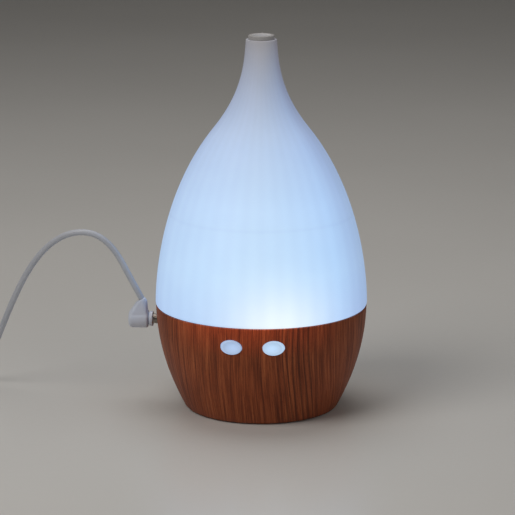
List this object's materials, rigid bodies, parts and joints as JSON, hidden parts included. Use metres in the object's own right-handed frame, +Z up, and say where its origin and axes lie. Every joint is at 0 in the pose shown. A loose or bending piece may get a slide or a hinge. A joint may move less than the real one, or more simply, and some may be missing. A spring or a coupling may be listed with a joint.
{
  "type": "cool mist humidifier",
  "caption": "Bottle-shaped frosted cover lit from inside, on a wood-grain base with tank, ultrasonic disc, fan, oval buttons, low-voltage cord and wall adapter.",
  "frame": {"origin": "on the cover's axis, on the surface the rubber feet stand on", "axes": "+Z up along the cover's axis, -Y towards the buttons, -X towards the power socket"},
  "size_m": [0.3031, 0.1209, 0.213],
  "materials": {
    "frosted_cover": "translucent frosted white, lit from inside",
    "spout_plastic": "frosted white",
    "tank_plastic": "satin white",
    "wood_grain": "reddish-brown wood-grain print, satin",
    "under_plastic": "dark brown, matte",
    "duct_plastic": "satin light grey",
    "button_plastic": "translucent white, backlit",
    "rubber": "matte black",
    "silicone": "matte grey silicone",
    "clear_lens": "milky clear",
    "led_package": "white with clear dome",
    "disc_metal": "plated",
    "steel_plate": "zinc plated",
    "screw_steel": "zinc plated",
    "circuit_board": "green solder mask",
    "capacitor_sleeve": "dark blue sleeve",
    "coil_winding": "enamelled copper winding",
    "chip_epoxy": "black moulding compound",
    "heat_sink_aluminium": "extruded",
    "socket_plastic": "ivory",
    "fan_plastic": "black",
    "bearing_bronze": "sintered bronze",
    "jack_plastic": "black",
    "switch_metal": "tinned",
    "contact_metal": "nickel plated",
    "wire_red": "satin insulation",
    "wire_blue": "satin insulation",
    "wire_yellow": "satin insulation",
    "wire_grey": "satin insulation",
    "plug_plastic": "satin white",
    "cord_plastic": "satin white jacket",
    "tie_plastic": "matte black",
    "adapter_plastic": "fine-textured white",
    "pin_sleeve": "black"
  },
  "bodies": {
    "base": {"base_screws": "screw_steel", "base_shell": "wood_grain", "board_capacitor": "capacitor_sleeve", "board_chip": "chip_epoxy", "board_coil": "coil_winding", "board_screws": "screw_steel", "board_sockets": "socket_plastic", "board_transistor": "chip_epoxy", "bottom_cover": "under_plastic", "button_board": "circuit_board", "button_board_screws": "screw_steel", "button_switches": "switch_metal", "dc_jack": "jack_plastic", "dc_jack_pin": "contact_metal", "fan_bearing": "bearing_bronze", "fan_duct": "duct_plastic", "fan_frame": "fan_plastic", "fan_leads": "wire_yellow", "fan_screws": "screw_steel", "fan_stator": "coil_winding", "heat_sink": "heat_sink_aluminium", "jack_leads": "wire_red", "led_board": "circuit_board", "led_lens": "clear_lens", "leds": "led_package", "main_board": "circuit_board", "panel_leads": "wire_grey", "retainer_screws": "screw_steel", "rubber_feet": "rubber", "tank_seal": "silicone", "transducer_disc": "disc_metal", "transducer_gasket": "silicone", "transducer_leads": "wire_blue", "transducer_retainer": "steel_plate", "water_tank": "tank_plastic"},
    "cover": {"outer_cover": "frosted_cover", "mist_spout": "spout_plastic"},
    "mist_guide": {"inner_cover": "tank_plastic"},
    "light_key": {"light_button": "button_plastic", "light_plunger": "jack_plastic"},
    "mist_key": {"mist_button": "button_plastic", "mist_plunger": "jack_plastic"},
    "fan": {"fan_rotor": "fan_plastic"},
    "power_lead": {"dc_plug_body": "plug_plastic", "dc_plug_collar": "plug_plastic", "dc_plug_barrel": "contact_metal", "dc_plug_insulator": "jack_plastic", "dc_cord": "cord_plastic", "cord_coil": "cord_plastic", "cord_tail": "cord_plastic", "cord_tie": "tie_plastic", "adapter_body": "adapter_plastic", "adapter_face": "adapter_plastic", "adapter_pins": "contact_metal", "adapter_pin_sleeves": "pin_sleeve", "adapter_relief": "adapter_plastic"}
  },
  "joints": [
    {"name": "cover_lift", "type": "slide", "parent": "base", "child": "cover", "axis": [0, 0, 1], "range_m": [0, 0.16]},
    {"name": "guide_lift", "type": "slide", "parent": "base", "child": "mist_guide", "axis": [0, 0, 1], "range_m": [0, 0.064]},
    {"name": "light_press", "type": "slide", "parent": "base", "child": "light_key", "axis": [0, 1, 0], "range_m": [0, 0.0005], "stiffness_N_per_m": 1500},
    {"name": "mist_press", "type": "slide", "parent": "base", "child": "mist_key", "axis": [0, 1, 0], "range_m": [0, 0.0005], "stiffness_N_per_m": 1500},
    {"name": "fan_spin", "type": "hinge", "parent": "base", "child": "fan", "pos_m": [0, 0.0225, 0.008], "axis": [0, 0, 1], "continuous": true},
    {"name": "plug_pull", "type": "slide", "parent": "base", "child": "power_lead", "axis": [-1, 0, 0], "range_m": [0, 0.014]}
  ],
  "couplings": [
    {"joint": "guide_lift", "follows": "cover_lift", "ratio": 0.4}
  ]
}
